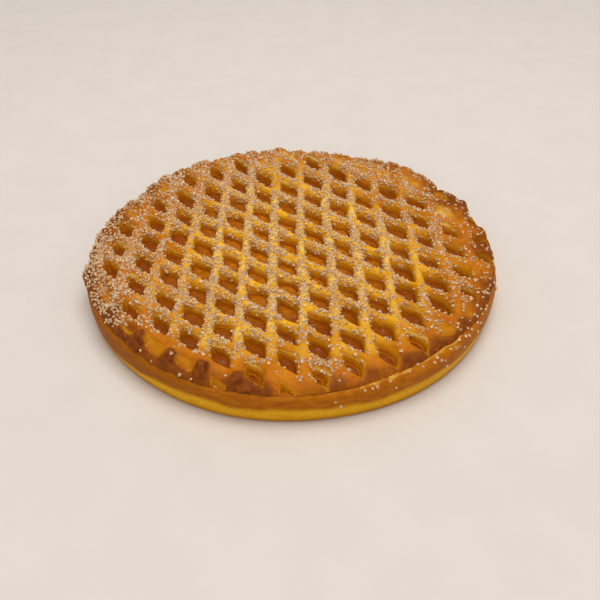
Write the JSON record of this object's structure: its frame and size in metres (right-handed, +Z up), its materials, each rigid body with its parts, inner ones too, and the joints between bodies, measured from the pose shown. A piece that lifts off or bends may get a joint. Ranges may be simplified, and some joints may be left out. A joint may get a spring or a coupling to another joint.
{
  "type": "fruit vlaai",
  "caption": "Round shallow fruit flan: baked dough dish with fruit filling under a leaning dough lattice strewn with coarse sugar.",
  "frame": {"origin": "centre of the flat underside of the crust, on the surface it stands on", "axes": "+Z up; +Y from the front, the side with the bare brown edge, to the back; the sugared side is at -X"},
  "size_m": [0.2868, 0.2859, 0.0329],
  "materials": {
    "crust_dough": "baked yeast dough, pale gold low on the wall and brown on its shoulder, satin",
    "fruit_filling": "cooked fruit in its own syrup, orange-brown, wet gloss",
    "lattice_dough": "egg-washed baked dough, golden in the middle and browned at the rim, strewn with coarse sugar"
  },
  "bodies": {
    "root": {"crust": "crust_dough", "filling": "fruit_filling", "lattice_top": "lattice_dough"}
  },
  "joints": []
}
